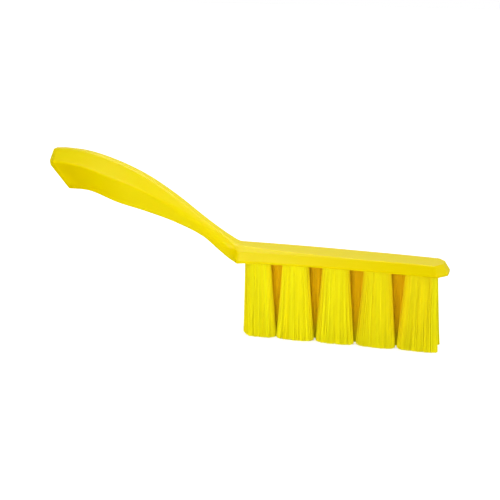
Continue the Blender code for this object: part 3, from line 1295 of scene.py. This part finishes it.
@dataclass(frozen=True)
class Panel:
    """One soft panel lamp close to the brush, with its width and height as its size."""

    name: str
    place: Place
    target: Place
    size: Pair
    power: float
    duty: Duty

    def hang(self) -> bpy.types.Object:
        """Add the lamp, turned towards its target.

        Returns:
            The lamp object.
        """
        data = bpy.data.lights.new(self.name, "AREA")
        data.shape, (data.size, data.size_y), data.energy = "RECTANGLE", self.size, self.power
        lamp = link_object(self.name, data)
        lamp.location = self.place
        away = Vector(self.place) - Vector(self.target)
        lamp.rotation_euler = away.to_track_quat("Z", "Y").to_euler()
        lamp.visible_glossy = self.duty is Duty.SHEEN
        lamp.visible_diffuse = self.duty is Duty.LIGHT
        return lamp


@dataclass
class Studio:
    """White floor and surroundings, soft lamps and the camera."""

    # Camera: its place, turn and tilt in degrees, lens and sensor width in millimetres, and the
    # nearest and furthest that it sees
    eye: Place = (0.26708, -0.92639, 0.34627)
    azimuth: float = 15.85
    elevation: float = 16.06
    lens: float = 89.05
    sensor: float = 36.0
    clip: Pair = (0.01, 50.0)

    # Floor: its colour, the light it adds for the camera, and its brightness in reflections
    floor_size: float = 6.0
    floor_tone: float = 0.82
    floor_glow: float = 0.62
    floor_gloss: float = 0.04

    # Light from all round, and how much brighter it gets towards +X, +Y and +Z
    ambient: float = 0.506
    ambient_lean: Place = (0.350, 0.170, 0.620)
    # Brightness in reflections in front of the brush and behind it, and where it changes
    gloss: Pair = (0.0, 0.75)
    gloss_edge: Pair = (-0.35, 0.25)

    panels: tuple[Panel, ...] = (
        Panel("front", (-0.04, -0.36, 0.022), (-0.04, 0.0, 0.07), (0.26, 0.03), 0.31, Duty.LIGHT),
        Panel("key", (0.17, -0.60, 0.04), (0.02, 0.0, 0.04), (0.20, 0.06), 0.54, Duty.LIGHT),
        Panel("over", (0.02, -0.05, 0.31), (0.02, 0.0, 0.08), (0.15, 0.10), 0.035, Duty.LIGHT),
        Panel("sheen", (-0.15, -0.38, 0.47), (-0.02, -0.02, 0.07), (0.20, 0.30), 2.6, Duty.SHEEN),
        Panel("crest", (0.0, 0.08, 0.48), (-0.01, -0.01, 0.08), (0.30, 0.10), 1.3, Duty.SHEEN),
        Panel("back", (0.02, 0.20, 0.50), (0.02, 0.0, 0.09), (0.46, 0.40), 3.6, Duty.SHEEN),
    )

    def camera(self) -> bpy.types.Object:
        """Place the camera.

        Returns:
            The camera object.
        """
        data = bpy.data.cameras.new("view")
        data.lens, data.sensor_width, data.sensor_fit = self.lens, self.sensor, "HORIZONTAL"
        data.clip_start, data.clip_end = self.clip
        camera = link_object("view", data)
        turn, rise = math.radians(self.azimuth), math.radians(self.elevation)
        level = math.cos(rise)
        ahead = Vector((-math.sin(turn) * level, math.cos(turn) * level, -math.sin(rise)))
        side = Vector((math.cos(turn), math.sin(turn), 0))
        above = side.cross(ahead)
        basis = Matrix((side, above, -ahead)).transposed().to_4x4()
        camera.matrix_world = Matrix.Translation(self.eye) @ basis
        bpy.context.scene.camera = camera
        return camera

    def floor(self) -> bpy.types.Object:
        """Lay the floor, white to the camera except where the brush shades it.

        Returns:
            The floor object.
        """
        half = self.floor_size / 2
        corners = [(-half, -half, 0), (half, -half, 0), (half, half, 0), (-half, half, 0)]
        mesh = bpy.data.meshes.new("floor")
        mesh.from_pydata(corners, [], [(0, 1, 2, 3)])
        material, sheet, _ = new_material("floor_white")
        sheet.tree.nodes.clear()
        seen = sheet.add("ShaderNodeLightPath").outputs
        paint = sheet.add("ShaderNodeBsdfDiffuse", Color=(self.floor_tone,) * 3 + (1.0,))
        glow = sheet.add("ShaderNodeEmission", Strength=self.floor_glow)
        dark = sheet.add("ShaderNodeEmission", Strength=self.floor_gloss)
        both = sheet.add("ShaderNodeAddShader")
        sheet.join(paint.outputs[0], both.inputs[0])
        sheet.join(glow.outputs[0], both.inputs[1])
        shown = sheet.choose(seen["Is Glossy Ray"], paint, dark)
        shown = sheet.choose(seen["Is Camera Ray"], shown, both)
        out = sheet.add("ShaderNodeOutputMaterial")
        sheet.join(shown.outputs[0], out.inputs["Surface"])
        mesh.materials.append(material)
        floor = link_object("floor", mesh)
        return floor

    def surroundings(self) -> None:
        """White to the camera, bright behind the brush in reflections, and as light a soft tent."""
        world = bpy.data.worlds.new("studio")
        world.use_nodes = True
        bpy.context.scene.world = world
        sheet = NodeSheet(world.node_tree)
        sheet.tree.nodes.clear()
        seen = sheet.add("ShaderNodeLightPath").outputs
        place = sheet.add("ShaderNodeTexCoord").outputs["Generated"]

        axes = sheet.add("ShaderNodeSeparateXYZ")
        sheet.join(place, axes.inputs[0])
        behind = sheet.spread(axes.outputs["Y"], *self.gloss, *self.gloss_edge)
        behind.node.interpolation_type = "SMOOTHSTEP"

        lean = sheet.add("ShaderNodeVectorMath", operation="DOT_PRODUCT")
        lean.inputs[1].default_value = self.ambient_lean
        sheet.join(place, lean.inputs[0])
        tent = sheet.add("ShaderNodeMath", operation="ADD")
        tent.inputs[1].default_value = self.ambient
        sheet.join(lean.outputs["Value"], tent.inputs[0])

        backdrop, reflection, light = (
            sheet.add("ShaderNodeBackground", Color=WHITE, Strength=1.0) for _ in range(3))
        sheet.join(behind, reflection.inputs["Strength"])
        sheet.join(tent.outputs[0], light.inputs["Strength"])
        shown = sheet.choose(seen["Is Glossy Ray"], light, reflection)
        shown = sheet.choose(seen["Is Camera Ray"], shown, backdrop)
        out = sheet.add("ShaderNodeOutputWorld")
        sheet.join(shown.outputs[0], out.inputs["Surface"])

    def build(self) -> None:
        """Set up the camera, floor, surroundings and lamps."""
        bpy.context.scene.view_settings.view_transform = "Standard"
        self.camera()
        self.floor()
        self.surroundings()
        for panel in self.panels:
            panel.hang()


def main() -> None:
    """Build the brush and the studio, and report each piece."""
    logging.basicConfig(level=logging.INFO, format="%(name)s: %(message)s")
    moulded = MouldedPlastic(
        name="moulded_yellow",
        colour=(0.84, 0.690, 0.0),
        deep_colour=(0.81, 0.650, 0.0),
        # Colour of the painted shade
        painted_shade_colour=(0.765, 0.600, 0.0),
        roughness=0.34,
    )
    drawn = FilamentPlastic(
        name="filament_yellow",
        pale_colour=(1.0, 0.95, 0.004),
        deep_colour=(0.96, 0.84, 0.0),
        # Colour of the painted shade inside the brush
        painted_shade_orange=(1.0, 0.62, 0.0),
        roughness=0.40,
    ).material()
    bundles = [
        Bundle(row=row, number=number, finish=drawn)
        for row, count in BUNDLE_COUNTS.items()
        for number in range(1, count + 1)
    ]
    body = Moulding(finish=moulded).build(bundles)
    LOG.info("%s: %d faces", body.name, len(body.data.polygons))
    for bundle in bundles:
        piece = bundle.build()
        LOG.info("%s: %d faces", piece.name, len(piece.data.polygons))
    Studio().build()


if __name__ == "__main__":
    main()
